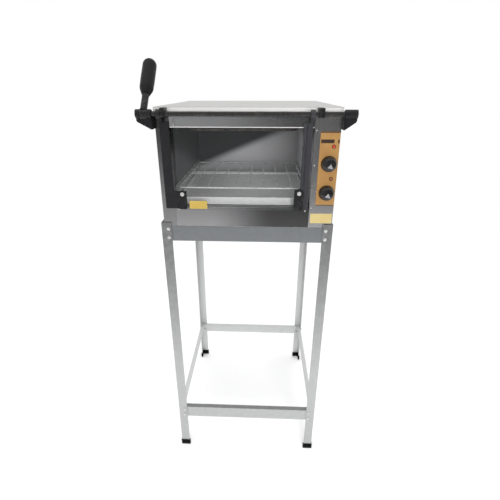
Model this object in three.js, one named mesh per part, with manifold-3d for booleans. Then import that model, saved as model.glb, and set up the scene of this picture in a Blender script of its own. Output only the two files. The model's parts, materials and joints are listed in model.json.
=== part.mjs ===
// Electric bench oven with a lever-worked glass door, on an open stand of steel angle.
// Millimetres, +Z up, the front faces -Y. The floor is z = 0, and the middle of the
// whole object's footprint is x = y = 0.
import * as THREE from 'three';
import { mergeVertices } from 'three/addons/utils/BufferGeometryUtils.js';
import Module from 'manifold-3d';

const wasm = await Module();
wasm.setup();

// ---------------------------------------------------------------- driving sizes

const touchGap = 0.3;            // left between pieces that lie against each other
const roundSides = 24;

const stand = {
  width: 540,
  depth: 580,
  height: 990,
  flange: 32,
  thickness: 3,
  railHeight: 50,
  railFlange: 18,
  railThickness: 2,
  topRailDrop: 13,               // from the tops of the legs to the top rails
  shelfRailBottom: 156,
  footHeight: 25,
  footSole: 8,
  footWall: 2,
};

const cabinet = {
  sideClear: 3.5,                // to the legs, each side, before the shift
  frontClear: 1,
  backClear: 3,
  height: 353,
  shift: 2.5,                    // stands a little to the right between the legs
  sheet: 1.5,
  leftColumn: 40,
  rightColumn: 74,
  lowerPanel: 62,
  fascia: 55,                    // from the opening to the top
  returnDepth: 21,               // folded edges round the opening
  lidLip: 12,
};

const chamber = {
  backSpace: 63.7,               // behind the chamber, for the wiring
  elementRadius: 4,
  elementInset: 40,
  elementDrop: 14,               // upper element below the chamber roof
  elementLift: 8,                // lower element above the chamber floor
  elementFrontGap: 75,           // from the chamber's mouth to the loop
  elementStandOff: 60,           // from the back wall to the loop
  elementBend: 22,
  elementTail: 15,               // terminals stand out behind the chamber
  terminalPitch: 60,
};

const runner = {
  frontGap: 4,
  backGap: 12,
  ledge: 10,
  bottom: 4,
  trayLedge: 15,
  rackLedge: 51,
  top: 62,
  sheet: 1.5,
};

const tray = { backGap: 90.3, sheet: 1.5, rim: 10, apron: 12, setBack: 26, sideGap: 2 };

const rack = {
  backGap: 40.3,
  frameRadius: 2.5,
  barRadius: 1.6,
  bars: 8,
  setBack: 36,
  sideGap: 3,
};

const control = {
  plateWidth: 56,
  plateThickness: 1,
  plateLift: 11,                 // above the bottom edge of the opening
  plateDrop: 9,                  // below its top edge
  edgeGap: 0.5,
  knobRadius: 23,
  knobLength: 22,
  knobSkirt: 5,
  stemRadius: 3,
  lowerKnobUp: 40,               // from the plate's bottom edge
  upperKnobDown: 90,             // from its top edge
  knobInset: 26,                 // from the plate's right edge
  lampRadius: 5.5,
  lampBarrel: 4,
  lampDepth: 16,
  lowerLampUp: 82,
  upperLampDown: 41,
  lampInset: 16,
  switchWidth: 38,
  switchDepth: 42,
  switchGap: 2,                  // behind the column's sheet
};

const label = { width: 66, height: 31, thickness: 0.4, rightInset: 3, lift: 16 };

const door = {
  rodRadius: 6.75,
  rodForward: 26,                // in front of the cabinet face
  rodDrop: 17,                   // below the top of the cabinet
  rodLeft: 43,                   // past the cabinet's left side
  rodRight: 34,
  knuckleWall: 4.95,             // round the rod's bore
  knuckleWidth: 12,
  armWidth: 27,
  armThickness: 4,
  armBack: 1.5,                  // clear of the cabinet face
  armTop: 22,                    // below the rod
  leftArmOutside: 27,            // the left arm's outer edge beyond the opening
  rightArmInside: 5,             // the right arm's outer edge inside the opening
  glassThickness: 4,
  glassLeftInset: 13,            // edges of the glass inside the opening
  glassRightInset: 22,
  glassTop: 12,                  // below the rod
  overhang: 2,                   // below the bottom edge of the opening
  clampThickness: 3.7,
  leftClamp: 22,
  rightClamp: 27,
  leftClampHeight: 58,
  rightClampHeight: 66,
  footShortfall: 4,              // the arms' feet end below the tops of the clamps
  boltRadius: 3,
  boltHead: 5.5,
  boltHeadHeight: 4,
  boltTail: 5.5,                 // behind the arms
};

const bracket = { thickness: 4, wall: 44, drop: 41, web: 6, tipDrop: 21, boreWall: 5 };

const bearing = { width: 13, rightWidth: 16, rightGap: 4, wall: 1.95, above: 16 };

const lever = {
  clear: 1.2,                    // between the grip and the lid's side
  shaftRadius: 9.5,
  hubWall: 3.95,
  hubSide: 0.5,                  // the hub is wider than the shaft by this much each side
  lean: 42,                      // degrees back from upright
  gripStart: 65,                 // along the lever from the rod
  gripLength: 122,
  gripRadius: 20,
  gripNeck: 12,
  gripShoulder: 24,
  tang: 70,                      // how far the shaft runs inside the grip
};

const caution = { width: 54, height: 25, thickness: 0.4, fromClamp: 9, lift: 1 };

const gland = { radius: 11, length: 16, boreRadius: 7, fromRight: 66, height: 34 };

// ---------------------------------------------------------------- derived places

const railTop = stand.height - stand.topRailDrop;
const halfWidth = stand.width / 2 - stand.thickness - cabinet.sideClear;
const left = cabinet.shift - halfWidth;
const right = cabinet.shift + halfWidth;
const front = stand.thickness + cabinet.frontClear;
const back = stand.depth - stand.thickness - cabinet.backClear;
const floorZ = railTop + touchGap;
const topZ = floorZ + cabinet.height;
const wallBottom = floorZ + cabinet.sheet + touchGap;
const wallTop = topZ - cabinet.sheet - touchGap;
const openLeft = left + cabinet.leftColumn;
const openRight = right - cabinet.rightColumn;
const openBottom = floorZ + cabinet.lowerPanel;
const openTop = topZ - cabinet.fascia;
const lidOut = touchGap + cabinet.sheet;
const chamberFront = front + cabinet.returnDepth + touchGap;
const chamberBack = back - chamber.backSpace;
const lowerElementZ = openBottom + chamber.elementLift;
const upperElementZ = openTop - chamber.elementDrop;
const elementBack = chamberBack + chamber.elementTail;
const plateLeft = right - control.edgeGap - control.plateWidth;
const plateRight = right - control.edgeGap;
const plateBottom = openBottom + control.plateLift;
const plateTop = openTop - control.plateDrop;
const knobHeights = [plateBottom + control.lowerKnobUp, plateTop - control.upperKnobDown];
const lampHeights = [plateBottom + control.lowerLampUp, plateTop - control.upperLampDown];
const plateFront = front - touchGap - control.plateThickness;
const rodY = front - door.rodForward;
const rodZ = topZ - door.rodDrop;
const rodBore = door.rodRadius + touchGap;
const knuckleRadius = rodBore + door.knuckleWall;
const hubRadius = rodBore + lever.hubWall;
const hubWidth = 2 * (lever.shaftRadius + lever.hubSide);
const armBackY = front - door.armBack;
const armFrontY = armBackY - door.armThickness;
const glassBackY = armFrontY - touchGap;
const glassFrontY = glassBackY - door.glassThickness;
const clampBackY = glassFrontY - touchGap;
const clampFrontY = clampBackY - door.clampThickness;
const doorBottom = openBottom - door.overhang;
const glassLeft = openLeft + door.glassLeftInset;
const glassRight = openRight - door.glassRightInset;
const leftArmX = openLeft - door.leftArmOutside;
const rightArmX = openRight - door.rightArmInside - door.armWidth;
const leverX = left - lidOut - lever.clear - lever.gripRadius;

// ---------------------------------------------------------------- finishes

const finish = {
  polished: { color: 0xb9bab8, roughness: 0.28, metalness: 0.95 },
  lidSteel: { color: 0xc9c9c6, roughness: 0.34, metalness: 0.9 },
  standPaint: { color: 0xb3b5b4, roughness: 0.42, metalness: 0.55 },
  liner: { color: 0x85868a, roughness: 0.45, metalness: 0.8 },
  zinc: { color: 0xc4c6c6, roughness: 0.35, metalness: 0.9 },
  blackPaint: { color: 0x1d1c20, roughness: 0.42, metalness: 0.25 },
  armPaint: { color: 0x4b4a52, roughness: 0.4, metalness: 0.5 },
  rubber: { color: 0x141414, roughness: 0.8, metalness: 0 },
  blackPlastic: { color: 0x16161a, roughness: 0.3, metalness: 0 },
  glass: { color: 0x8d9296, roughness: 0.05, metalness: 0 },
  orange: { color: 0xe9ac4e, roughness: 0.4, metalness: 0 },
  yellow: { color: 0xf0c31e, roughness: 0.45, metalness: 0 },
  paleLabel: { color: 0xe8d67a, roughness: 0.5, metalness: 0 },
  redLens: { color: 0xb5381c, roughness: 0.2, metalness: 0 },
  amberLens: { color: 0x9a5a1a, roughness: 0.2, metalness: 0 },
  element: { color: 0x55504c, roughness: 0.55, metalness: 0.6 },
  wool: { color: 0xd8d2bc, roughness: 0.95, metalness: 0 },
};

// ---------------------------------------------------------------- solids

function solid(geometry) {
  const bare = geometry.clone();
  bare.deleteAttribute('normal');
  bare.deleteAttribute('uv');
  const merged = mergeVertices(bare, 1e-4);
  const mesh = new wasm.Mesh({
    numProp: 3,
    vertProperties: new Float32Array(merged.attributes.position.array),
    triVerts: new Uint32Array(merged.index.array),
  });
  return new wasm.Manifold(mesh);
}

function geometryOf(body) {
  const mesh = body.getMesh();
  const geometry = new THREE.BufferGeometry();
  geometry.setAttribute('position', new THREE.BufferAttribute(mesh.vertProperties, 3));
  geometry.setIndex(new THREE.BufferAttribute(mesh.triVerts, 1));
  geometry.computeVertexNormals();
  return geometry;
}

function join(...geometries) {
  return geometryOf(geometries.map(solid).reduce((sum, next) => sum.add(next)));
}

function cut(geometry, ...tools) {
  return geometryOf(tools.map(solid).reduce((rest, tool) => rest.subtract(tool), solid(geometry)));
}

function block(x, y, z) {
  const geometry = new THREE.BoxGeometry(x[1] - x[0], y[1] - y[0], z[1] - z[0]);
  return geometry.translate((x[0] + x[1]) / 2, (y[0] + y[1]) / 2, (z[0] + z[1]) / 2);
}

function roundAlongX(radius, x, y, z, sides = roundSides) {
  const geometry = new THREE.CylinderGeometry(radius, radius, x[1] - x[0], sides);
  return geometry.rotateZ(Math.PI / 2).translate((x[0] + x[1]) / 2, y, z);
}

function roundAlongY(radius, x, y, z, sides = roundSides) {
  const geometry = new THREE.CylinderGeometry(radius, radius, y[1] - y[0], sides);
  return geometry.translate(x, (y[0] + y[1]) / 2, z);
}

function outline(points) {
  return new THREE.Shape(points.map(([u, v]) => new THREE.Vector2(u, v)));
}

function prism(shape, from, to) {
  const options = { depth: to - from, bevelEnabled: false, curveSegments: 8 };
  return new THREE.ExtrudeGeometry(shape, options).translate(0, 0, from);
}

// a shape drawn in (y, z), extruded along x
function prismAlongX(shape, from, to) {
  return prism(shape, from, to).applyMatrix4(
    new THREE.Matrix4().set(0, 0, 1, 0, 1, 0, 0, 0, 0, 1, 0, 0, 0, 0, 0, 1),
  );
}

// a shape drawn in (x, z), extruded along y
function prismAlongY(shape, from, to) {
  return prism(shape, -to, -from).rotateX(Math.PI / 2);
}

// turned about the y axis: points are (radius, distance along +y)
function turnedAlongY(points, sides = roundSides) {
  return new THREE.LatheGeometry(points.map(([r, a]) => new THREE.Vector2(r, a)), sides);
}

const oven = new THREE.Group();

function part(name, geometry, look, parent = oven) {
  const mesh = new THREE.Mesh(geometry, new THREE.MeshStandardMaterial(look));
  mesh.name = name;
  parent.add(mesh);
  return mesh;
}

// ---------------------------------------------------------------- the stand

// an L with its corner at the origin, grown all round by the given amount
function angleOutline(grow, alongX, alongY) {
  const t = stand.thickness + grow;
  const f = stand.flange + grow;
  const points = [[-grow, -grow], [f, -grow], [f, t], [t, t], [t, f], [-grow, f]];
  return outline(points.map(([x, y]) => [x * alongX, y * alongY]));
}

function leg(alongX, alongY) {
  return prism(angleOutline(0, alongX, alongY), stand.footSole + touchGap, stand.height);
}

function foot(alongX, alongY) {
  const boot = prism(angleOutline(stand.footWall + touchGap, alongX, alongY), 0, stand.footHeight);
  const socket = prism(angleOutline(touchGap, alongX, alongY), stand.footSole, stand.footHeight + 1);
  return cut(boot, socket);
}

function addLegs() {
  for (const side of [-1, 1]) {
    for (const end of ['front', 'rear']) {
      const alongY = end === 'front' ? 1 : -1;
      const name = `${end}_${side < 0 ? 'left' : 'right'}`;
      const corner = [side * stand.width / 2, end === 'front' ? 0 : stand.depth, 0];
      part(`leg_${name}`, leg(-side, alongY), finish.standPaint).position.set(...corner);
      part(`foot_${name}`, foot(-side, alongY), finish.rubber).position.set(...corner);
    }
  }
}

// runs along x, its face at y = 0 and its flange towards +y, level with the top at z = 0
function rail(length, flangeLength) {
  const face = block([-length / 2, length / 2], [0, stand.railThickness], [-stand.railHeight, 0]);
  const flange = block(
    [-flangeLength / 2, flangeLength / 2],
    [0, stand.railFlange],
    [-stand.railThickness, 0],
  );
  return join(face, flange);
}

function addRails(name, top) {
  const inside = stand.thickness + touchGap;
  const sideLength = stand.depth - 2 * inside;
  const corner = stand.railThickness + touchGap;
  const frontLength = stand.width - 2 * (inside + corner);
  const frontFlange = stand.width - 2 * (inside + stand.railFlange + touchGap);
  const places = {
    front: [0, inside, 0],
    rear: [0, stand.depth - inside, Math.PI],
    left: [inside - stand.width / 2, stand.depth / 2, -Math.PI / 2],
    right: [stand.width / 2 - inside, stand.depth / 2, Math.PI / 2],
  };
  for (const [end, [x, y, turn]] of Object.entries(places)) {
    const across = end === 'front' || end === 'rear';
    const geometry = across ? rail(frontLength, frontFlange) : rail(sideLength, sideLength - 2 * corner);
    const mesh = part(`${name}_${end}`, geometry, finish.standPaint);
    mesh.position.set(x, y, top);
    mesh.rotation.z = turn;
  }
}

// ---------------------------------------------------------------- the cabinet

function addCasing() {
  const t = cabinet.sheet;
  const inLeft = left + t + touchGap;
  const inRight = right - t - touchGap;
  const behindFace = front + t + touchGap;
  const height = [wallBottom, wallTop];
  part('base_pan', block([left, right], [front, back], [floorZ, floorZ + t]), finish.polished);
  part('side_panel_left', block([left, left + t], [behindFace, back], height), finish.polished);
  part('side_panel_right', block([right - t, right], [behindFace, back], height), finish.polished);
  const glandHole = roundAlongY(gland.boreRadius + touchGap, glandX(), [back - t - 1, back + 1], glandZ());
  const backPanel = block([inLeft, inRight], [back - t, back], height);
  part('back_panel', cut(backPanel, glandHole), finish.polished);
  const lid = block([left - lidOut, right + lidOut], [front - lidOut, back + lidOut],
    [topZ - cabinet.lidLip, topZ]);
  const lidHollow = block([left - touchGap, right + touchGap], [front - touchGap, back + touchGap],
    [topZ - cabinet.lidLip - 1, topZ - t]);
  part('top_plate', cut(lid, lidHollow), finish.lidSteel);
}

function glandX() {
  return right - gland.fromRight;
}

function glandZ() {
  return floorZ + gland.height;
}

// an upright L: the face lies in the cabinet's front, the return runs back beside the opening
function column(outer, inner) {
  const t = cabinet.sheet * Math.sign(outer - inner);
  const y0 = front;
  const y1 = front + cabinet.sheet;
  const y2 = front + cabinet.returnDepth;
  const points = [[outer, y0], [outer, y1], [inner + t, y1], [inner + t, y2], [inner, y2], [inner, y0]];
  return prism(outline(points), wallBottom, wallTop);
}

// the same L lying down between the columns, above or below the opening
function crossPanel(outer, inner) {
  const t = cabinet.sheet * Math.sign(outer - inner);
  const y0 = front;
  const y1 = front + cabinet.sheet;
  const y2 = front + cabinet.returnDepth;
  const points = [[y0, outer], [y1, outer], [y1, inner + t], [y2, inner + t], [y2, inner], [y0, inner]];
  return prismAlongX(outline(points), openLeft + touchGap, openRight - touchGap);
}

function controlHoles(y) {
  const stems = knobHeights.map((z) =>
    roundAlongY(control.stemRadius + 1, plateRight - control.knobInset, y, z, 16));
  const lamps = lampHeights.map((z) =>
    roundAlongY(control.lampBarrel + touchGap, plateRight - control.lampInset, y, z, 16));
  return [...stems, ...lamps];
}

function addFront() {
  part('front_column_left', column(left, openLeft), finish.polished);
  const through = [plateFront - 1, front + cabinet.sheet + 1];
  part('control_column', cut(column(right, openRight), ...controlHoles(through)), finish.polished);
  part('top_fascia', crossPanel(wallTop, openTop), finish.polished);
  part('lower_front_panel', crossPanel(wallBottom, openBottom), finish.polished);
  const labelX = [right - label.rightInset - label.width, right - label.rightInset];
  const labelY = [front - touchGap - label.thickness, front - touchGap];
  const labelZ = [floorZ + label.lift, floorZ + label.lift + label.height];
  part('data_label', block(labelX, labelY, labelZ), finish.paleLabel);
}

// ---------------------------------------------------------------- the baking chamber

function terminalPlaces() {
  const middle = (openLeft + openRight) / 2;
  return [middle - chamber.terminalPitch / 2, middle + chamber.terminalPitch / 2];
}

function addChamber() {
  const t = cabinet.sheet;
  const shell = block([openLeft - t, openRight + t], [chamberFront, chamberBack],
    [openBottom - t, openTop + t]);
  const hollow = block([openLeft, openRight], [chamberFront - 1, chamberBack - t], [openBottom, openTop]);
  const holes = [];
  for (const z of [lowerElementZ, upperElementZ]) {
    for (const x of terminalPlaces()) {
      const through = [chamberBack - t - 1, chamberBack + 1];
      holes.push(roundAlongY(chamber.elementRadius + touchGap, x, through, z, 12));
    }
  }
  part('chamber', cut(shell, hollow, ...holes), finish.liner);
  const woolTop = topZ - cabinet.sheet - 2;
  part('insulation_top', block([openLeft, openRight], [chamberFront + 5, chamberBack],
    [openTop + t + touchGap, woolTop]), finish.wool);
}

// one loop of tube: in from a terminal, round the sides, and back out at the other
function heatingElement(z) {
  const [a, b] = terminalPlaces();
  const x0 = openLeft + chamber.elementInset;
  const x1 = openRight - chamber.elementInset;
  const y1 = chamberBack - chamber.elementStandOff;
  const y0 = chamberFront + chamber.elementFrontGap;
  const bend = chamber.elementBend;
  const corners = [
    [a, elementBack], [a, y1], [x0, y1], [x0, y0], [x1, y0], [x1, y1], [b, y1], [b, elementBack],
  ];
  const route = new THREE.CurvePath();
  let from = new THREE.Vector3(...corners[0], 0);
  for (let i = 1; i < corners.length - 1; i += 1) {
    const corner = new THREE.Vector3(...corners[i], 0);
    const before = new THREE.Vector3(...corners[i - 1], 0);
    const after = new THREE.Vector3(...corners[i + 1], 0);
    const start = corner.clone().add(before.sub(corner).setLength(bend));
    const end = corner.clone().add(after.sub(corner).setLength(bend));
    route.add(new THREE.LineCurve3(from, start));
    route.add(new THREE.QuadraticBezierCurve3(start, corner, end));
    from = end;
  }
  route.add(new THREE.LineCurve3(from, new THREE.Vector3(...corners.at(-1), 0)));
  const section = new THREE.Shape().absarc(0, 0, chamber.elementRadius, 0, 2 * Math.PI);
  const options = { extrudePath: route, steps: 96, curveSegments: 4, bevelEnabled: false };
  return new THREE.ExtrudeGeometry(section, options).translate(0, 0, z);
}

function addElements() {
  part('heating_element_upper', heatingElement(upperElementZ), finish.element);
  part('heating_element_lower', heatingElement(lowerElementZ), finish.element);
}

// a strip on the chamber's side wall with a ledge for the tray and one for the rack
function runnerOutline(wall, inward) {
  const t = runner.sheet * inward;
  const x0 = wall + touchGap * inward;
  const tip = x0 + runner.ledge * inward;
  const z = (height) => openBottom + height;
  return outline([
    [x0, z(runner.bottom)], [x0 + t, z(runner.bottom)],
    [x0 + t, z(runner.trayLedge - runner.sheet)], [tip, z(runner.trayLedge - runner.sheet)],
    [tip, z(runner.trayLedge)], [x0 + t, z(runner.trayLedge)],
    [x0 + t, z(runner.rackLedge - runner.sheet)], [tip, z(runner.rackLedge - runner.sheet)],
    [tip, z(runner.rackLedge)], [x0 + t, z(runner.rackLedge)],
    [x0 + t, z(runner.top)], [x0, z(runner.top)],
  ]);
}

function addRunners() {
  const y = [chamberFront + runner.frontGap, chamberBack - runner.backGap];
  part('runner_left', prismAlongY(runnerOutline(openLeft, 1), ...y), finish.zinc);
  part('runner_right', prismAlongY(runnerOutline(openRight, -1), ...y), finish.zinc);
}

function addTray() {
  const t = tray.sheet;
  const web = touchGap + runner.sheet + tray.sideGap;
  const x = [openLeft + web, openRight - web];
  const y = [front + tray.setBack, chamberBack - tray.backGap];
  const bottom = openBottom + runner.trayLedge + touchGap;
  const top = bottom + t + tray.rim;
  const pan = block(x, y, [bottom, top]);
  const hollow = block([x[0] + t, x[1] - t], [y[0] + t, y[1] - t], [bottom + t, top + 1]);
  const apronX = [openLeft + runner.ledge + 4, openRight - runner.ledge - 4];
  const apron = block(apronX, [y[0], y[0] + t], [bottom - tray.apron, bottom + t]);
  part('drip_tray', join(cut(pan, hollow), apron), finish.zinc);
}

function addRack() {
  const web = touchGap + runner.sheet + rack.sideGap;
  const z = openBottom + runner.rackLedge + touchGap + rack.frameRadius;
  const x0 = openLeft + web + rack.frameRadius;
  const x1 = openRight - web - rack.frameRadius;
  const y0 = front + rack.setBack;
  const y1 = chamberBack - rack.backGap;
  const cap = rack.frameRadius;
  const middle = (y0 + y1) / 2;
  const pieces = [
    roundAlongX(rack.frameRadius, [x0 - cap, x1 + cap], y0, z, 8),
    roundAlongX(rack.frameRadius, [x0 - cap, x1 + cap], y1, z, 8),
    roundAlongX(rack.frameRadius, [x0 - cap, x1 + cap], middle, z, 8),
    roundAlongY(rack.frameRadius, x0, [y0 - cap, y1 + cap], z, 8),
    roundAlongY(rack.frameRadius, x1, [y0 - cap, y1 + cap], z, 8),
  ];
  const pitch = (x1 - x0) / (rack.bars + 1);
  for (let i = 1; i <= rack.bars; i += 1) {
    pieces.push(roundAlongY(rack.barRadius, x0 + i * pitch, [y0 - 1, y1 + 1], z + rack.barRadius, 6));
  }
  part('wire_rack', join(...pieces), finish.zinc);
}

// ---------------------------------------------------------------- the controls

function knob() {
  const r = control.knobRadius;
  const tail = stemReach();
  return turnedAlongY([
    [0, -control.knobLength],
    [r * 0.5, -control.knobLength + 0.8],
    [r * 0.76, -control.knobLength + 3],
    [r * 0.86, -control.knobSkirt - 2],
    [r * 0.97, -control.knobSkirt],
    [r, -control.knobSkirt + 2],
    [r, 0],
    [control.stemRadius, 0],
    [control.stemRadius, tail],
    [0, tail],
  ], 28);
}

// how far the stem runs behind the knob, up to the switch's face
function stemReach() {
  return front + cabinet.sheet + control.switchGap - (plateFront - touchGap);
}

function pilotLamp() {
  const r = control.lampRadius;
  return turnedAlongY([
    [0, -4], [r * 0.6, -3.4], [r * 0.95, -1.6], [r, -0.3], [r, 0],
    [control.lampBarrel, 0], [control.lampBarrel, control.lampDepth], [0, control.lampDepth],
  ], 20);
}

function addControls() {
  const plate = block([plateLeft, plateRight], [plateFront, plateFront + control.plateThickness],
    [plateBottom, plateTop]);
  const through = [plateFront - 1, plateFront + control.plateThickness + 1];
  part('control_plate', cut(plate, ...controlHoles(through)), finish.orange);
  const knobX = plateRight - control.knobInset;
  const lampX = plateRight - control.lampInset;
  const half = control.switchWidth / 2;
  const switchFace = front + cabinet.sheet + control.switchGap + touchGap;
  const switchY = [switchFace, switchFace + control.switchDepth];
  ['lower', 'upper'].forEach((level, i) => {
    const knobZ = knobHeights[i];
    const lampZ = lampHeights[i];
    part(`knob_${level}`, knob(), finish.blackPlastic).position.set(knobX, plateFront - touchGap, knobZ);
    const look = level === 'upper' ? finish.redLens : finish.amberLens;
    part(`pilot_lamp_${level}`, pilotLamp(), look).position.set(lampX, plateFront - touchGap, lampZ);
    const name = level === 'upper' ? 'thermostat_body' : 'heat_switch_body';
    const middle = Math.min(knobX, right - cabinet.sheet - touchGap - half);
    part(name, block([middle - half, middle + half], switchY, [knobZ - half, knobZ + half]),
      finish.blackPlastic);
  });
  const z = floorZ + cabinet.sheet + touchGap;
  part('terminal_block', block([glandX() - 22, glandX() + 22], [back - 60, back - 40], [z, z + 20]),
    finish.blackPlastic);
  const glandBody = turnedAlongY([
    [0, -6], [gland.boreRadius, -6], [gland.boreRadius, touchGap], [gland.radius, touchGap],
    [gland.radius, gland.length * 0.55], [gland.radius * 0.82, gland.length], [0, gland.length],
  ]);
  part('cable_gland', glandBody, finish.blackPlastic).position.set(glandX(), back, glandZ());
}

// ---------------------------------------------------------------- the door and its lever

function addRod() {
  const ends = [left - door.rodLeft, right + door.rodRight];
  part('door_rod', roundAlongX(door.rodRadius, ends, rodY, rodZ), finish.blackPaint);
}

// a cheek bolted to the cabinet's side, bosses round the rod, and a web below it
function endBracket(wall, outward, reach, bosses, webClear) {
  const r = rodBore + bracket.boreWall;
  const cheekShape = new THREE.Shape();
  cheekShape.moveTo(rodY, rodZ + r);
  cheekShape.absarc(rodY, rodZ, r, Math.PI / 2, 3 * Math.PI / 2, false);
  cheekShape.lineTo(rodY - bracket.web / 2, rodZ - bracket.drop);
  cheekShape.lineTo(front + bracket.wall, rodZ - bracket.drop);
  cheekShape.lineTo(front + bracket.wall, rodZ - bracket.drop / 3);
  cheekShape.lineTo(front + bracket.wall - 20, topZ - cabinet.lidLip - 1);
  cheekShape.lineTo(front - lidOut - 1, topZ - cabinet.lidLip - 1);
  const near = wall + outward * touchGap;
  const far = near + outward * bracket.thickness;
  const tip = wall + outward * reach;
  const cheek = prismAlongX(cheekShape, Math.min(near, far), Math.max(near, far));
  const rounds = bosses.map((ends) => {
    const x = ends.map((end) => wall + outward * end).sort((a, b) => a - b);
    return roundAlongX(r, x, rodY, rodZ);
  });
  const low = rodZ - webClear;
  const webShape = outline([
    [far - outward, low], [far - outward, rodZ - bracket.drop],
    [tip - outward * 2, rodZ - bracket.tipDrop], [tip, rodZ - bracket.tipDrop + 4], [tip, low],
  ]);
  const web = prismAlongY(webShape, rodY - bracket.web / 2, rodY + bracket.web / 2);
  const boreX = [Math.min(near, tip) - 1, Math.max(near, tip) + 1];
  return cut(join(cheek, ...rounds, web), roundAlongX(rodBore, boreX, rodY, rodZ));
}

function addBearings() {
  const hubClear = hubRadius + touchGap;
  const hubHalf = hubWidth / 2 + touchGap;
  const hubOut = left - leverX;
  const leftBosses = [[bracket.thickness - 1, hubOut - hubHalf], [hubOut + hubHalf, door.rodLeft]];
  const rightBosses = [[bracket.thickness - 1, door.rodRight]];
  part('end_bracket_left', endBracket(left, -1, door.rodLeft, leftBosses, hubClear), finish.blackPaint);
  part('end_bracket_right', endBracket(right, 1, door.rodRight, rightBosses, rodBore), finish.blackPaint);
  const y = [rodY - rodBore - bearing.wall, front - lidOut - touchGap];
  const z = [rodZ - rodBore - bearing.wall, rodZ + bearing.above];
  const leftX = leftArmX + door.knuckleWidth + touchGap;
  const places = {
    left: [leftX, leftX + bearing.width],
    right: [openRight + bearing.rightGap, openRight + bearing.rightGap + bearing.rightWidth],
  };
  for (const [side, x] of Object.entries(places)) {
    const bore = roundAlongX(rodBore, [x[0] - 1, x[1] + 1], rodY, rodZ);
    part(`rod_bearing_${side}`, cut(block(x, y, z), bore), finish.blackPaint);
  }
}

// a ring on the rod, a neck back to the door's plane, a flat bar, and a foot behind the glass
function doorArm(armX, knuckleX, footX, clampHeight, boltX, boltZ) {
  const r = knuckleRadius;
  const ring = roundAlongX(r, knuckleX, rodY, rodZ);
  const footTop = doorBottom + clampHeight - door.footShortfall;
  const neckShape = outline([
    [rodY - r * 0.3, rodZ - r * 0.85], [rodY + r * 0.85, rodZ - r * 0.3],
    [armBackY, rodZ - door.armTop + 4], [armBackY, rodZ - door.armTop - 12],
    [armFrontY, rodZ - door.armTop - 12], [armFrontY, rodZ - door.armTop - 4],
  ]);
  const neck = prismAlongX(neckShape, ...knuckleX);
  const bar = block(armX, [armFrontY, armBackY], [doorBottom, rodZ - door.armTop]);
  const foot = block(footX, [armFrontY, armBackY], [doorBottom, footTop]);
  const bore = roundAlongX(rodBore, [knuckleX[0] - 1, knuckleX[1] + 1], rodY, rodZ);
  const boltHole = roundAlongY(door.boltRadius + touchGap, boltX, [armFrontY - 1, armBackY + 1], boltZ, 16);
  return cut(join(ring, neck, bar, foot), bore, boltHole);
}

// a plate in front of the glass with a rounded top
function glassClamp(x, height, boltX, boltZ) {
  const r = (x[1] - x[0]) / 2;
  const top = doorBottom + height;
  const shape = new THREE.Shape();
  shape.moveTo(x[0], doorBottom);
  shape.lineTo(x[1], doorBottom);
  shape.lineTo(x[1], top - r);
  shape.absarc((x[0] + x[1]) / 2, top - r, r, 0, Math.PI, false);
  const plate = prismAlongY(shape, clampFrontY, clampBackY);
  const through = [clampFrontY - 1, clampBackY + 1];
  return cut(plate, roundAlongY(door.boltRadius + touchGap, boltX, through, boltZ, 16));
}

function clampBolt(x, z) {
  const seat = clampFrontY - touchGap;
  const head = roundAlongY(door.boltHead, x, [seat - door.boltHeadHeight, seat], z, 6);
  const shank = roundAlongY(door.boltRadius, x, [clampFrontY - 1, armBackY + door.boltTail], z, 12);
  return join(head, shank);
}

function addDoor() {
  addRod();
  const clamps = {
    left: [glassLeft + 3, glassLeft + 3 + door.leftClamp],
    right: [glassRight + 1 - door.rightClamp, glassRight + 1],
  };
  const heights = { left: door.leftClampHeight, right: door.rightClampHeight };
  const bolts = {};
  for (const [side, x] of Object.entries(clamps)) {
    const r = (x[1] - x[0]) / 2;
    bolts[side] = [x[0] + r, doorBottom + heights[side] - r];
    part(`glass_clamp_${side}`, glassClamp(x, heights[side], ...bolts[side]), finish.blackPaint);
    part(`clamp_bolt_${side}`, clampBolt(...bolts[side]), finish.zinc);
  }
  const leftBar = [leftArmX, leftArmX + door.armWidth];
  const rightBar = [rightArmX, rightArmX + door.armWidth];
  const leftKnuckle = [leftBar[0], leftBar[0] + door.knuckleWidth];
  const rightKnuckle = [rightBar[1] - door.knuckleWidth, rightBar[1]];
  const leftFoot = [leftBar[1] - 1, clamps.left[1]];
  const rightFoot = [clamps.right[0], rightBar[0] + 1];
  part('door_arm_left', doorArm(leftBar, leftKnuckle, leftFoot, heights.left, ...bolts.left),
    finish.armPaint);
  part('door_arm_right', doorArm(rightBar, rightKnuckle, rightFoot, heights.right, ...bolts.right),
    finish.armPaint);
  const pane = block([glassLeft, glassRight], [glassFrontY, glassBackY], [doorBottom, rodZ - door.glassTop]);
  const holes = Object.values(bolts).map(([x, z]) =>
    roundAlongY(door.boltRadius + 1.5, x, [glassFrontY - 1, glassBackY + 1], z, 16));
  part('door_glass', cut(pane, ...holes), finish.glass);
  const stickerLeft = clamps.left[1] + caution.fromClamp;
  part('caution_label', block([stickerLeft, stickerLeft + caution.width],
    [glassFrontY - touchGap - caution.thickness, glassFrontY - touchGap],
    [doorBottom + caution.lift, doorBottom + caution.lift + caution.height]), finish.yellow);
}

function unitAt(degreesBack) {
  const angle = THREE.MathUtils.degToRad(degreesBack);
  return new THREE.Vector3(0, Math.sin(angle), Math.cos(angle));
}

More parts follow.
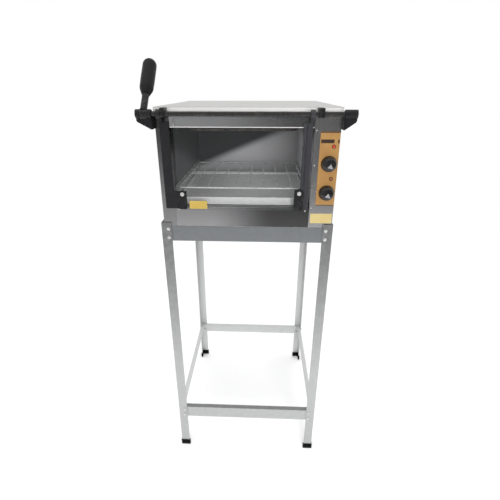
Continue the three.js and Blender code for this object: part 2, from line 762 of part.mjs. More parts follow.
function addLever() {
  const axis = new THREE.Vector3(leverX, rodY, rodZ);
  const along = unitAt(lever.lean);
  const shaftStart = rodBore + 1;
  const shaftEnd = lever.gripStart + lever.tang;
  const shaft = new THREE.CylinderGeometry(lever.shaftRadius, lever.shaftRadius, shaftEnd - shaftStart,
    roundSides);
  shaft.translate(0, (shaftStart + shaftEnd) / 2, 0);
  shaft.applyQuaternion(new THREE.Quaternion().setFromUnitVectors(new THREE.Vector3(0, 1, 0), along));
  shaft.translate(axis.x, axis.y, axis.z);
  const hubX = [leverX - hubWidth / 2, leverX + hubWidth / 2];
  const hub = roundAlongX(hubRadius, hubX, rodY, rodZ);
  const bore = roundAlongX(rodBore, [hubX[0] - 1, hubX[1] + 1], rodY, rodZ);
  part('lever_shaft', cut(join(shaft, hub), bore), finish.blackPaint);

  const socket = lever.shaftRadius + touchGap;
  const r = lever.gripRadius;
  const long = lever.gripLength;
  const gripMiddle = lever.gripNeck + (r - lever.gripNeck) * 0.6;
  const dome = [15, 30, 45, 60, 75].map((degrees) => {
    const angle = THREE.MathUtils.degToRad(degrees);
    return [r * Math.cos(angle), long - r + r * Math.sin(angle)];
  });
  const gripProfile = [
    [socket, 0], [lever.gripNeck, 0], [gripMiddle, lever.gripShoulder * 0.45],
    [r * 0.96, lever.gripShoulder * 0.8], [r, lever.gripShoulder * 1.2], [r, long - r], ...dome, [0, long],
    [0, lever.tang + touchGap], [socket, lever.tang + touchGap],
  ];
  gripProfile.push(gripProfile[0]);
  const grip = part('lever_grip', turnedAlongY(gripProfile), finish.blackPlastic);
  grip.quaternion.setFromUnitVectors(new THREE.Vector3(0, 1, 0), along);
  grip.position.copy(axis).addScaledVector(along, lever.gripStart);
}

addLegs();
addRails('top_rail', railTop);
addRails('shelf_rail', stand.shelfRailBottom + stand.railHeight);
addCasing();
addFront();
addChamber();
addElements();
addRunners();
addTray();
addRack();
addControls();
addBearings();
addDoor();
addLever();

oven.updateMatrixWorld(true);
const middle = new THREE.Box3().setFromObject(oven, true).getCenter(new THREE.Vector3());
oven.position.set(-middle.x, -middle.y, 0);

export default oven;
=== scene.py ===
import json
import math

import bmesh
import bpy
from mathutils import Matrix, Vector


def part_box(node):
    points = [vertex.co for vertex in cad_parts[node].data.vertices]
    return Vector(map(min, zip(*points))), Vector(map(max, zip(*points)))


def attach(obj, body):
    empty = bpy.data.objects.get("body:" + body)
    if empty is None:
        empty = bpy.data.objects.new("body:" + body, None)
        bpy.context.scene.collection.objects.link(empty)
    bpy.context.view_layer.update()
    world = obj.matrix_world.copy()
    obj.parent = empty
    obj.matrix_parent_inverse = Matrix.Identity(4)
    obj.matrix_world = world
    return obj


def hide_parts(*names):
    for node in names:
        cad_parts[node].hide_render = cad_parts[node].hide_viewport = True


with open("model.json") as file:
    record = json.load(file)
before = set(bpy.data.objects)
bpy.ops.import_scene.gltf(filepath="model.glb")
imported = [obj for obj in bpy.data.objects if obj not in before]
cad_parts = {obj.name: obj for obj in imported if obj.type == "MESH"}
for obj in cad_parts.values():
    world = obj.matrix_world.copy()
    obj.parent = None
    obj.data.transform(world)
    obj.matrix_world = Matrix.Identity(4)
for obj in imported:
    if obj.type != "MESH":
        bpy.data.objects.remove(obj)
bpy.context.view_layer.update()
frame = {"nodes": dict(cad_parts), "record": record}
print("frame loaded:", len(frame["nodes"]), "solids")

scene = bpy.context.scene
mm = 0.001
acrossX = Vector((1, 0, 0))
towardsBack = Vector((0, 1, 0))
upwards = Vector((0, 0, 1))
slotOf = {row["node"]: row["material_slot"] for row in frame["record"]["subparts"]}
bodyOf = {node: body for body, nodes in frame["record"]["behaviour"]["bodies"].items() for node in nodes}


class Value:  # a shader socket that can stand in a sum
    def __init__(self, recipe, socket):
        self.recipe = recipe
        self.socket = socket

    def maths(self, operation, *terms):
        return self.recipe.node("ShaderNodeMath", {"operation": operation}, dict(enumerate(terms)))

    def __add__(self, other):
        return self.maths("ADD", self, other)

    def __radd__(self, other):
        return self.maths("ADD", other, self)

    def __sub__(self, other):
        return self.maths("SUBTRACT", self, other)

    def __rsub__(self, other):
        return self.maths("SUBTRACT", other, self)

    def __mul__(self, other):
        return self.maths("MULTIPLY", self, other)

    def __rmul__(self, other):
        return self.maths("MULTIPLY", other, self)

    def __pow__(self, other):
        return self.maths("POWER", self, other)

    def __rpow__(self, other):
        return self.maths("POWER", other, self)

    def between(self, low, high):  # 0 below low, 1 above high
        settings = {"interpolation_type": "SMOOTHSTEP"}
        return self.recipe.node("ShaderNodeMapRange", settings, {0: self, 1: low, 2: high, 3: 0.0, 4: 1.0})


class Recipe:
    def __init__(self, tree):
        self.tree = tree

    def node(self, kind, settings, sockets, out=0):
        made = self.tree.nodes.new(kind)
        for name, value in settings.items():
            setattr(made, name, value)
        for key, value in sockets.items():
            self.feed(made.inputs[key], value)
        return Value(self, made.outputs[out])

    def feed(self, socket, value):
        if isinstance(value, Value):
            self.tree.links.new(value.socket, socket)
        else:
            socket.default_value = value

    def place(self, scale=(1, 1, 1), turn=(0, 0, 0)):  # the piece's own metres, stretched
        here = self.node("ShaderNodeTexCoord", {}, {}, out="Object")
        return self.node("ShaderNodeMapping", {}, {"Vector": here, "Scale": scale, "Rotation": turn})

    def axes(self):
        here = self.node("ShaderNodeTexCoord", {}, {}, out="Object")
        parts = self.node("ShaderNodeSeparateXYZ", {}, {0: here}).socket.node
        return [Value(self, parts.outputs[i]) for i in range(3)]

    def noise(self, scale, detail=4.0, stretch=(1, 1, 1), lump=0.5, turn=(0, 0, 0)):
        sockets = {"Vector": self.place(stretch, turn), "Scale": scale, "Detail": detail, "Roughness": lump}
        return self.node("ShaderNodeTexNoise", {}, sockets)

    def mixed(self, share, first, second):
        return self.node("ShaderNodeMix", {"data_type": "RGBA"}, {0: share, 6: first, 7: second}, out=2)

    def bumped(self, height, strength, distance):
        return self.node("ShaderNodeBump", {}, {"Height": height, "Strength": strength, "Distance": distance})

    def edgeWear(self, low=0.52, high=0.62):
        return self.node("ShaderNodeNewGeometry", {}, {}, out="Pointiness").between(low, high)


class Finish(Recipe):
    def __init__(self, name, **fixed):
        self.material = bpy.data.materials.new(name)
        self.material.use_nodes = True
        super().__init__(self.material.node_tree)
        self.shader = self.tree.nodes["Principled BSDF"]
        self.set(**fixed)

    def set(self, **sockets):  # baseColor is the shader's Base Color, and so on
        for name, value in sockets.items():
            words = "".join(" " + c if c.isupper() else c for c in name).replace("I O R", "IOR")
            self.feed(self.shader.inputs[words[0].upper() + words[1:]], value)


def tone(red, green, blue):  # screen values 0 to 255 as light
    light = [(c / 255 / 12.92 if c <= 10 else ((c / 255 + 0.055) / 1.055) ** 2.4) for c in (red, green, blue)]
    return (*light, 1.0)


def dimmed(colour, share):
    return (*[c * share for c in colour[:3]], 1.0)


# grain: how finely it runs along x, y and z, so the smallest number is the way the sheet was brushed
brushedAcross = (2.5, 330, 330)
brushedFlat = (2.5, 2.5, 330)
brushedUpright = (330, 2.5, 2.5)
# painted shade, darker along one axis: the axis, where it starts and ends, and the share of the tone that is
# left at the far end
steelLooks = {
    "cabinetSteel": {
        "colour": tone(186, 186, 187), "roughness": 0.26, "grain": brushedFlat, "stain": 0.05,
    },
    # the fascia: the cabinet steel with painted shade, darker towards the right
    "fasciaShadedSteel": {
        "colour": tone(186, 186, 187), "roughness": 0.24, "grain": brushedAcross, "stain": 0.05,
        "fade": (0, -0.09, 0.19, 0.42),
    },
    # the lower front panel: a darker copy of the cabinet steel as painted shade, darker still towards the
    # right
    "lowerPanelShadedSteel": {
        "colour": tone(160, 160, 161), "roughness": 0.24, "grain": brushedAcross, "stain": 0.05,
        "fade": (0, -0.12, 0.09, 0.24),
    },
    # the left column: a darker copy of the cabinet steel as painted shade, darker still towards the top
    "leftColumnShadedSteel": {
        "colour": tone(148, 148, 149), "roughness": 0.26, "grain": brushedUpright, "stain": 0.05,
        "fade": (2, 1.06, 1.27, 0.42),
    },
    # the control column: a darker copy of the cabinet steel as painted shade
    "rightColumnShadedSteel": {
        "colour": tone(172, 171, 172), "roughness": 0.26, "grain": brushedUpright, "stain": 0.06,
    },
    # the lid: a lighter copy of the cabinet steel as painted light, with its top face darkened as painted
    # shade
    "lidSteel": {
        "colour": tone(226, 225, 223), "roughness": 0.30, "grain": brushedAcross, "stain": 0.05,
        "metallic": 0.35, "fade": (2, 1.3283, 1.3301, 0.48),
    },
    # the liner: painted shade on the back wall, darker above a slanting line
    "linerSteel": {
        "colour": tone(190, 190, 192), "roughness": 0.34, "grain": (3, 3, 260), "stain": 0.08,
        "metallic": 0.2, "scorch": 0.05,
    },
}


def makeSteel(name):
    look = steelLooks[name]
    finish = Finish(name, metallic=look.get("metallic", 1.0))
    grain = finish.noise(1.0, 3.0, look["grain"], 0.6)
    scratches = finish.noise(1.0, 2.0, [s * 1.7 for s in look["grain"]], 0.7).between(0.64, 0.8)
    clouds = finish.noise(5.5, 5.0)
    wiped = finish.noise(9.0, 6.0, (1.0, 1.0, 2.2), 0.62, (0.3, 0.2, 0.5)).between(0.48, 0.76)
    dull = dimmed(look["colour"], 1 - look["stain"] * 1.6)
    colour = finish.mixed(clouds.between(0.35, 0.75) * look["stain"] * 4, look["colour"], dull)
    colour = finish.mixed((grain - 0.5) * 0.25 + scratches * 0.05, colour, dimmed(look["colour"], 1.12))
    # painted shade: darker along one axis towards its far end
    if "fade" in look:
        axis, start, end, left = look["fade"]
        along = finish.axes()[axis].between(start, end)
        colour = finish.mixed(along, colour, dimmed(look["colour"], left))
    if "scorch" in look:  # painted shade, darker above a slanting line towards the upper left
        axes = finish.axes()
        aboveLine = (axes[2] - 1.11 - (axes[0] + 0.13) * 0.41).between(-0.02, 0.02)
        colour = finish.mixed(aboveLine, colour, dimmed(look["colour"], look["scorch"]))
    rough = look["roughness"] + (grain - 0.5) * 0.04 + wiped * 0.04
    finish.set(baseColor=colour, roughness=rough, normal=finish.bumped(grain, 0.01, 0.0003))
    return finish.material


standLook = {"roughness": 0.42, "metallic": 0.35, "spangle": 90, "dirt": tone(112, 108, 102)}
# each part of the stand: its tone, the two heights that it fades between, and the share left at the higher
# the tones are painted light and painted shade on copies of one paint; the fade is painted shade, darker
# towards the top
standPaints = {
    "standPaint": (tone(198, 199, 199), 0.30, 1.0, 0.66),
    "topRailShadedPaint": (tone(108, 111, 113), 0.90, 1.0, 0.95),
    "frontLegShadedPaint": (tone(168, 169, 169), 0.30, 1.0, 0.34),
    "shelfShadedPaint": (tone(168, 169, 169), 0.2042, 0.2058, 0.5),
    "sideLitPaint": (tone(204, 205, 205), 0.30, 1.0, 0.66),
}


def makeStandPaint(name):
    finish = Finish(name, metallic=standLook["metallic"])
    paint, start, end, left = standPaints[name]
    mottle = finish.noise(standLook["spangle"], 3.0)
    streaks = finish.noise(1.0, 4.0, (60, 60, 3), 0.6)
    rubbed = finish.edgeWear() * finish.noise(70.0, 4.0).between(0.42, 0.6)
    dirt = finish.noise(22.0, 6.0).between(0.56, 0.78)
    height = finish.axes()[2]
    splash = 1 - height.between(0.02, 0.22)
    worn = dimmed(paint, 0.6)
    # painted shade: darker towards the top, between the two heights
    colour = finish.mixed(height.between(start, end), paint, dimmed(paint, left))
    colour = finish.mixed(mottle.between(0.3, 0.7) * 0.05, colour, worn)
    colour = finish.mixed(streaks.between(0.5, 0.8) * 0.07, colour, worn)
    colour = finish.mixed(dirt * (0.03 + splash * 0.25), colour, standLook["dirt"])
    colour = finish.mixed(rubbed * 0.4, colour, dimmed(paint, 1.2))
    rough = standLook["roughness"] + (mottle - 0.5) * 0.06 + dirt * 0.15
    normal = finish.bumped(finish.noise(620.0, 2.0), 0.05, 0.0003)
    finish.set(baseColor=colour, roughness=rough, normal=normal)
    return finish.material


enamels = {
    "blackEnamel": {"colour": tone(24, 24, 26), "bare": tone(96, 94, 92), "rough": 0.42, "wear": 0.55},
    "armEnamel": {"colour": tone(30, 30, 32), "bare": tone(78, 77, 77), "rough": 0.34, "wear": 0.3},
    # the right arm: a lighter copy of the arm enamel, as painted light
    "rightArmLitEnamel": {"colour": tone(52, 52, 55), "bare": tone(104, 102, 102), "rough": 0.34, "wear": 0.3},
}


def makeEnamel(name):
    look = enamels[name]
    finish = Finish(name, coatRoughness=0.18, specularIORLevel=0.14)
    peel = finish.noise(420.0, 2.0)
    dust = finish.noise(26.0, 6.0).between(0.5, 0.75)
    chips = finish.edgeWear(0.53, 0.60) * finish.noise(150.0, 5.0).between(0.5, 0.58)
    colour = finish.mixed(dust * 0.05, look["colour"], tone(80, 79, 77))
    colour = finish.mixed(chips * look["wear"], colour, look["bare"])
    rough = look["rough"] + dust * 0.22 + (peel - 0.5) * 0.1
    finish.set(baseColor=colour, roughness=rough, metallic=chips * 0.8, coatWeight=0.12 - dust * 0.1,
               normal=finish.bumped(peel, 0.08, 0.0004))
    return finish.material


def makeRodSteel():  # black bar, polished by hands and by the bearings
    finish = Finish("rodEnamel", coatRoughness=0.12, specularIORLevel=0.2)
    rubbed = finish.noise(1.0, 5.0, (18, 60, 60), 0.6).between(0.5, 0.72)
    fine = finish.noise(1.0, 2.0, (700, 14, 14))
    colour = finish.mixed(rubbed * 0.55, tone(36, 35, 34), tone(76, 73, 71))
    finish.set(baseColor=colour, metallic=0.1 + rubbed * 0.25, roughness=0.26 + (fine - 0.5) * 0.2,
               coatWeight=0.2 - rubbed * 0.15, normal=finish.bumped(fine, 0.05, 0.0004))
    return finish.material


zincLook = {"bright": tone(206, 207, 206), "dull": tone(150, 152, 156), "baked": tone(118, 100, 74)}


def makeZinc(name, roughness, heat, metallic):
    finish = Finish(name, metallic=metallic)
    flowers = finish.node("ShaderNodeTexVoronoi", {}, {"Vector": finish.place(), "Scale": 120.0}, out="Color")
    leaf = finish.node("ShaderNodeSeparateColor", {}, {0: flowers})
    film = finish.noise(34.0, 6.0).between(0.5, 0.74)
    colour = finish.mixed(leaf * 0.14, zincLook["bright"], zincLook["dull"])
    colour = finish.mixed(film * heat, colour, zincLook["baked"])
    rough = roughness + (leaf - 0.5) * 0.05 + film * 0.14
    finish.set(baseColor=colour, roughness=rough, normal=finish.bumped(film, 0.03, 0.0004))
    return finish.material


def makeRubber():
    finish = Finish("footRubber")
    pores = finish.noise(900.0, 2.0)
    scuffs = finish.noise(60.0, 6.0).between(0.52, 0.7)
    low = 1 - finish.axes()[2].between(0.0, 0.014)
    colour = finish.mixed(scuffs * 0.2, tone(9, 9, 10), tone(58, 56, 54))
    colour = finish.mixed(low * 0.12, colour, tone(84, 80, 74))
    finish.set(baseColor=colour, specularIORLevel=0.1, roughness=0.72 + scuffs * 0.2,
               normal=finish.bumped(pores, 0.35, 0.0005))
    return finish.material


def makePhenolic(name, colour, roughness, shine):  # glossy moulded black, finger marks on it
    finish = Finish(name, coatRoughness=0.06, specularIORLevel=shine)
    prints = finish.noise(120.0, 5.0, (1, 1, 1), 0.65).between(0.45, 0.7)
    flow = finish.noise(300.0, 2.0)
    tinted = finish.mixed(prints * 0.3, colour, tone(52, 50, 48))
    finish.set(baseColor=tinted, roughness=roughness + prints * 0.22,
               coatWeight=(1 - prints * 0.8) * (shine * 1.6), normal=finish.bumped(flow, 0.06, 0.0004))
    return finish.material


paneLook = {"tint": tone(214, 220, 222), "least": 0.035, "most": 0.85, "greenEdge": tone(46, 62, 58)}


def makePane():  # clear where seen square on, a mirror where seen along
    finish = Finish("doorPane", baseColor=paneLook["tint"], metallic=1.0)
    slant = finish.node("ShaderNodeLayerWeight", {}, {"Blend": 0.5}, out="Facing")
    wiped = finish.noise(7.0, 6.0, (1, 1, 2.6), 0.6, (0.2, 0.9, 0.4)).between(0.45, 0.75)
    grease = finish.noise(55.0, 5.0).between(0.58, 0.74)
    clear = paneLook["least"] + slant ** 4.0 * paneLook["most"] + wiped * 0.035 + grease * 0.02
    finish.set(alpha=clear, roughness=0.04 + wiped * 0.10 + grease * 0.18)
    return finish.material


def makePaneEdge():
    finish = Finish("paneEdge", coatWeight=0.4)
    ground = finish.noise(500.0, 3.0)
    finish.set(baseColor=finish.mixed(ground, paneLook["greenEdge"], tone(30, 38, 36)),
               roughness=0.22 + ground * 0.2, alpha=0.94)
    return finish.material


printLooks = {
    "controlPrint": {"ink": tone(154, 117, 66), "faded": tone(142, 101, 56), "grain": 0.42, "gloss": 0.34},
    "cautionPrint": {"ink": tone(178, 154, 74), "faded": tone(165, 135, 52), "grain": 0.5, "gloss": 0.40},
    "labelPrint": {"ink": tone(188, 172, 118), "faded": tone(178, 160, 98), "grain": 0.5, "gloss": 0.45},
    "darkPrint": {"ink": tone(40, 27, 20), "faded": tone(72, 46, 28), "grain": 0.5, "gloss": 0.4},
    "brownPrint": {"ink": tone(150, 84, 40), "faded": tone(176, 104, 52), "grain": 0.5, "gloss": 0.4},
}


def makePrint(name):
    look = printLooks[name]
    finish = Finish(name, coatRoughness=0.25)
    patch = finish.noise(24.0, 5.0).between(0.38, 0.7)
    dots = finish.noise(900.0, 2.0)
    colour = finish.mixed(patch * look["grain"], look["ink"], look["faded"])
    colour = finish.mixed(dots.between(0.55, 0.75) * 0.14, colour, look["faded"])
    finish.set(baseColor=colour, roughness=look["gloss"] + patch * 0.16, coatWeight=0.25 - patch * 0.12,
               normal=finish.bumped(dots, 0.05, 0.0003))
    return finish.material


def makeLens(name, deep, bright, glow):
    finish = Finish(name, coatWeight=0.8, emissionStrength=glow, coatRoughness=0.05)
    rings = finish.noise(260.0, 2.0)
    colour = finish.mixed(rings.between(0.35, 0.65), deep, bright)
    finish.set(baseColor=colour, emissionColor=colour, roughness=0.18 + rings * 0.15,
               normal=finish.bumped(rings, 0.2, 0.0006))
    return finish.material


def makeElement():
    finish = Finish("elementSheath", metallic=0.7)
    scale = finish.noise(90.0, 6.0)
    temper = finish.noise(9.0, 3.0).between(0.4, 0.65)
    colour = finish.mixed(scale.between(0.4, 0.66), tone(92, 84, 78), tone(58, 52, 50))
    colour = finish.mixed(temper * 0.3, colour, tone(104, 88, 96))
    finish.set(baseColor=colour, roughness=0.46 + scale * 0.3, normal=finish.bumped(scale, 0.3, 0.0005))
    return finish.material


def makeWool():
    finish = Finish("mineralWool", roughness=0.95, sheenWeight=0.2)
    fibres = finish.noise(1.0, 6.0, (240, 60, 700), 0.7)
    tufts = finish.noise(45.0, 5.0)
    colour = finish.mixed(fibres.between(0.35, 0.65), tone(196, 186, 158), tone(226, 220, 200))
    finish.set(baseColor=finish.mixed(tufts.between(0.5, 0.8) * 0.4, colour, tone(150, 136, 104)),
               normal=finish.bumped(fibres + tufts, 0.8, 0.002))
    return finish.material


def makeSilver():
    finish = Finish("silverInlay", metallic=0.8)
    rub = finish.noise(300.0, 4.0)
    colour = finish.mixed(rub, tone(214, 214, 218), tone(172, 172, 178))
    finish.set(baseColor=colour, roughness=0.3 + rub * 0.2)
    return finish.material


finishes = {
    "cabinet_steel": makeSteel("cabinetSteel"),
    "lid_steel": makeSteel("lidSteel"),
    "liner_steel": makeSteel("linerSteel"),
    "stand_finish": makeStandPaint("standPaint"),
    "black_enamel": makeEnamel("blackEnamel"),
    "arm_enamel": makeEnamel("armEnamel"),
    "zinc_plate": makeZinc("zincPlate", 0.26, 0.25, 0.65),
    "foot_rubber": makeRubber(),
    "black_plastic": makePhenolic("blackPhenolic", tone(22, 21, 22), 0.16, 0.28),
    "door_pane": makePane(),
    "control_print": makePrint("controlPrint"),
    "caution_print": makePrint("cautionPrint"),
    "label_print": makePrint("labelPrint"),
    "red_lens": makeLens("redLens", tone(120, 20, 10), tone(196, 54, 30), 0.15),
    "amber_lens": makeLens("amberLens", tone(84, 38, 12), tone(150, 84, 30), 0.05),
    "element_sheath": makeElement(),
    "wool": makeWool(),
}
fasciaShadedSteel = makeSteel("fasciaShadedSteel")
lowerPanelShadedSteel = makeSteel("lowerPanelShadedSteel")
leftColumnShadedSteel = makeSteel("leftColumnShadedSteel")
rightColumnShadedSteel = makeSteel("rightColumnShadedSteel")
trayZinc = makeZinc("trayZinc", 0.32, 0.10, 0.2)
rackZinc = makeZinc("rackZinc", 0.28, 0.10, 0.35)
topRailShadedPaint = makeStandPaint("topRailShadedPaint")
frontLegShadedPaint = makeStandPaint("frontLegShadedPaint")
shelfShadedPaint = makeStandPaint("shelfShadedPaint")
sideLitPaint = makeStandPaint("sideLitPaint")
rightArmLitEnamel = makeEnamel("rightArmLitEnamel")
rodFinish = makeRodSteel()
gripFinish = makePhenolic("gripBakelite", tone(22, 22, 23), 0.42, 0.08)
paneEdge = makePaneEdge()
darkPrint = makePrint("darkPrint")
brownPrint = makePrint("brownPrint")
silverInlay = makeSilver()
print("finishes made")


def showPiece(name, mesh, body, slot, finish=None, standsFor=()):
    piece = bpy.data.objects.new(name, mesh)
    scene.collection.objects.link(piece)
    mesh.materials.clear()
    mesh.materials.append(finish or finishes[slot])
    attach(piece, body)
    if standsFor:
        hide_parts(*standsFor)
    return piece


def finishMesh(name, shape, smoothAngle=35):
    bmesh.ops.recalc_face_normals(shape, faces=shape.faces)
    mesh = bpy.data.meshes.new(name)
    shape.to_mesh(mesh)
    shape.free()
    mesh.shade_smooth()
    mesh.set_sharp_from_angle(angle=math.radians(smoothAngle))
    return mesh


def easeEdges(piece, width, segments=2):
    bevel = piece.modifiers.new("easedEdges", "BEVEL")
    bevel.width = width
    bevel.segments = segments
    bevel.limit_method = "ANGLE"
    bevel.angle_limit = math.radians(35)
    bevel.use_clamp_overlap = True
    flat = piece.modifiers.new("flatFaces", "WEIGHTED_NORMAL")
    flat.keep_sharp = False
    return piece


# the solid's own shape with its sharp edges eased, as bent sheet and cut bar have
def easedCopy(node, width, segments=2, finish=None):
    shape = bmesh.new()
    shape.from_mesh(frame["nodes"][node].data)
    bmesh.ops.remove_doubles(shape, verts=shape.verts, dist=1e-6)
    flatAngle = math.radians(0.5)
    bmesh.ops.dissolve_limit(shape, angle_limit=flatAngle, verts=shape.verts, edges=shape.edges)
    mesh = bpy.data.meshes.new(node)
    shape.to_mesh(mesh)
    shape.free()
    for extra in [a.name for a in mesh.attributes if a.name == "custom_normal"]:
        mesh.attributes.remove(mesh.attributes[extra])
    mesh.shade_smooth()
    piece = showPiece(node + "_eased", mesh, bodyOf[node], slotOf[node], finish, [node])
    return easeEdges(piece, width, segments)


def sideways(along):
    first = along.orthogonal().normalized()
    if abs(along.z) < 0.9:
        first = along.cross(upwards).normalized()
    return first, along.cross(first).normalized()


def addRing(shape, centre, first, second, radius, sides, turn=0.0):
    if radius < 1e-7:
        return [shape.verts.new(centre)]
    ring = []
    for i in range(sides):
        angle = turn + 2 * math.pi * i / sides
        ring.append(shape.verts.new(centre + (first * math.cos(angle) + second * math.sin(angle)) * radius))
    return ring


def joinRings(shape, lower, upper):
    if len(lower) == 1 and len(upper) == 1:
        return
    count = max(len(lower), len(upper))
    for i in range(count):
        j = (i + 1) % count
        corners = [lower[i % len(lower)], lower[j % len(lower)], upper[j % len(upper)], upper[i % len(upper)]]
        shape.faces.new(list(dict.fromkeys(corners)))


# profile: (distance along, radius); it starts and ends on the axis or closes on itself
def addTurned(shape, profile, start, along, sides=48, closed=False, turn=0.0):
    first, second = sideways(along)
    rings = [addRing(shape, start + along * a, first, second, r, sides, turn) for a, r in profile]
    for lower, upper in zip(rings, rings[1:]):
        joinRings(shape, lower, upper)
    if closed:
        joinRings(shape, rings[-1], rings[0])


def addSwept(shape, route, radius, sides=12):
    along = (route[1] - route[0]).normalized()
    first, second = sideways(along)
    rings = []
    for i, point in enumerate(route):
        ahead = route[min(i + 1, len(route) - 1)]
        behind = route[max(i - 1, 0)]
        heading = (ahead - behind).normalized()
        twist = along.rotation_difference(heading)
        first = twist @ first
        second = twist @ second
        along = heading
        rings.append(addRing(shape, point, first, second, radius, sides))
    for lower, upper in zip(rings, rings[1:]):
        joinRings(shape, lower, upper)
    shape.faces.new(rings[0])
    shape.faces.new(rings[-1])


def roundedRoute(corners, bend, steps=7):
    route = [corners[0]]
    for before, corner, after in zip(corners, corners[1:], corners[2:]):
        start = corner + (before - corner).normalized() * bend
        end = corner + (after - corner).normalized() * bend
        for i in range(steps + 1):
            t = i / steps
            route.append(start * (1 - t) ** 2 + corner * 2 * t * (1 - t) + end * t ** 2)
    return route + [corners[-1]]


def addSlab(shape, low, high):
    made = bmesh.ops.create_cube(shape, size=1.0)
    size = Vector(high) - Vector(low)
    middle = (Vector(high) + Vector(low)) / 2
    for vert in made["verts"]:
        vert.co = Vector((vert.co.x * size.x, vert.co.y * size.y, vert.co.z * size.z)) + middle


# outline in the two axes across the third, pushed out from one place to the other
def addPrism(shape, outline, axis, start, end):
    def corner(point, place):
        spot = list(point)
        spot.insert(axis, place)
        return shape.verts.new(spot)

    lower = [corner(point, start) for point in outline]
    upper = [corner(point, end) for point in outline]
    joinRings(shape, lower, upper)
    shape.faces.new(lower)
    shape.faces.new(upper)


def sizes(node):
    low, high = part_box(node)
    return low, high, (low + high) / 2


def onward(low, high, share):  # a place that is some share of the way from low to high
    return low + (high - low) * share


stoveBolt = {"head": 4.0 * mm, "headHeight": 3.0 * mm, "washer": 5.6 * mm, "washerHeight": 1.1 * mm,
             "shank": 3.0 * mm, "nut": 5.4 * mm, "nutHeight": 4.6 * mm, "chamfer": 0.6 * mm,
             "spareThread": 2 * mm, "grip": 5.4 * mm}
standBolting = {"pitch": 29 * mm, "lift": 2 * mm, "inset": 22 * mm}


def addHexBolt(shape, seat, outward):
    bolt = stoveBolt
    washer, head, shank, nut = [bolt[part] for part in ("washer", "head", "shank", "nut")]
    washerTop = bolt["washerHeight"]
    top = washerTop + bolt["headHeight"]
    ring = [(0, 0), (0, washer), (washerTop * 0.8, washer), (washerTop, washer * 0.94), (washerTop, 0)]
    addTurned(shape, ring, seat, outward, 32)
    cap = [(washerTop, 0), (washerTop, head), (top * 0.86, head), (top, head * 0.78), (top, 0)]
    addTurned(shape, cap, seat, outward, 6, turn=0.3)
    grip = bolt["grip"]
    nutTop = grip + bolt["nutHeight"]
    tail = nutTop + bolt["spareThread"]
    thread = [(0, 0), (0, shank), (tail - bolt["chamfer"], shank), (tail, shank * 0.8), (tail, 0)]
    addTurned(shape, thread, seat, -outward, 20)
    block = [(grip, 0), (grip, nut * 0.88), (grip + bolt["chamfer"], nut), (nutTop - bolt["chamfer"], nut),
             (nutTop, nut * 0.86), (nutTop, 0)]
    addTurned(shape, block, seat, -outward, 6, turn=0.1)


def makeStandBolts():
    look = standBolting
    for railName, rails in (("top_rail", "top"), ("shelf_rail", "shelf")):
        for side in ("left", "right"):
            for end in ("front", "rear"):
                legLow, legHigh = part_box(f"leg_{end}_{side}")
                railMiddle = sizes(f"{railName}_{end}")[2]
                outY = -1 if end == "front" else 1
                outX = -1 if side == "left" else 1
                faceY = legLow.y if end == "front" else legHigh.y
                faceX = legLow.x if side == "left" else legHigh.x
                shape = bmesh.new()
                for level in (-0.5, 0.5):
                    z = railMiddle.z + level * look["pitch"] + look["lift"]
                    ahead = Vector((faceX - outX * look["inset"], faceY, z))
                    addHexBolt(shape, ahead, Vector((0, outY, 0)))
                    beside = Vector((faceX, faceY - outY * look["inset"], z))
                    addHexBolt(shape, beside, Vector((outX, 0, 0)))
                mesh = finishMesh("standBolts", shape, 30)
                showPiece(f"bolts_{rails}_{end}_{side}", mesh, "frame", "zinc_plate")


casingScrews = {
    "side": {"radius": 3.6 * mm, "height": 1.9 * mm, "inset": 14 * mm, "up": (0.08, 0.5, 0.86),
             "along": (0.33, 0.67), "footInset": 9 * mm},
    "back": {"radius": 3.6 * mm, "height": 1.9 * mm, "inset": 12 * mm, "topInset": 24 * mm},
    "front": {"radius": 2.4 * mm, "height": 1.2 * mm, "inset": 12 * mm, "above": 6 * mm, "below": 7 * mm},
    "column": {"radius": 2.2 * mm, "height": 1.1 * mm, "inset": 6 * mm, "up": (0.18, 0.55, 0.83)},
}


def addPanScrew(shape, seat, outward, kind):
    radius = casingScrews[kind]["radius"]
    height = casingScrews[kind]["height"]
    profile = [(0, 0), (0, radius), (height * 0.45, radius * 0.97), (height * 0.8, radius * 0.8),
               (height, radius * 0.5), (height, radius * 0.16), (height * 0.35, 0)]
    addTurned(shape, profile, seat, outward, 28)


def makeSideScrews(side, outward):
    look = casingScrews["side"]
    low, high, middle = sizes(f"side_panel_{side}")
    faceX = low.x if side == "left" else high.x
    shape = bmesh.new()
    for y in (low.y + look["inset"], high.y - look["inset"]):
        for share in look["up"]:
            if y > middle.y or share < look["up"][-1]:  # the bracket covers the front top corner
                addPanScrew(shape, Vector((faceX, y, onward(low.z, high.z, share))), outward, "side")
    for share in look["along"]:
        foot = Vector((faceX, onward(low.y, high.y, share), low.z + look["footInset"]))
        addPanScrew(shape, foot, outward, "side")
    showPiece(f"side_screws_{side}", finishMesh("sideScrews", shape), "frame", "zinc_plate")


def makeBackScrews():
    look = casingScrews["back"]
    low, high, middle = sizes("back_panel")
    shape = bmesh.new()
    for x in (low.x + look["inset"], middle.x, high.x - look["inset"]):
        for z in (low.z + look["inset"], middle.z, high.z - look["topInset"]):
            if (x, z) != (middle.x, middle.z):
                addPanScrew(shape, Vector((x, high.y, z)), towardsBack, "back")
    showPiece("back_screws", finishMesh("backScrews", shape), "frame", "zinc_plate")


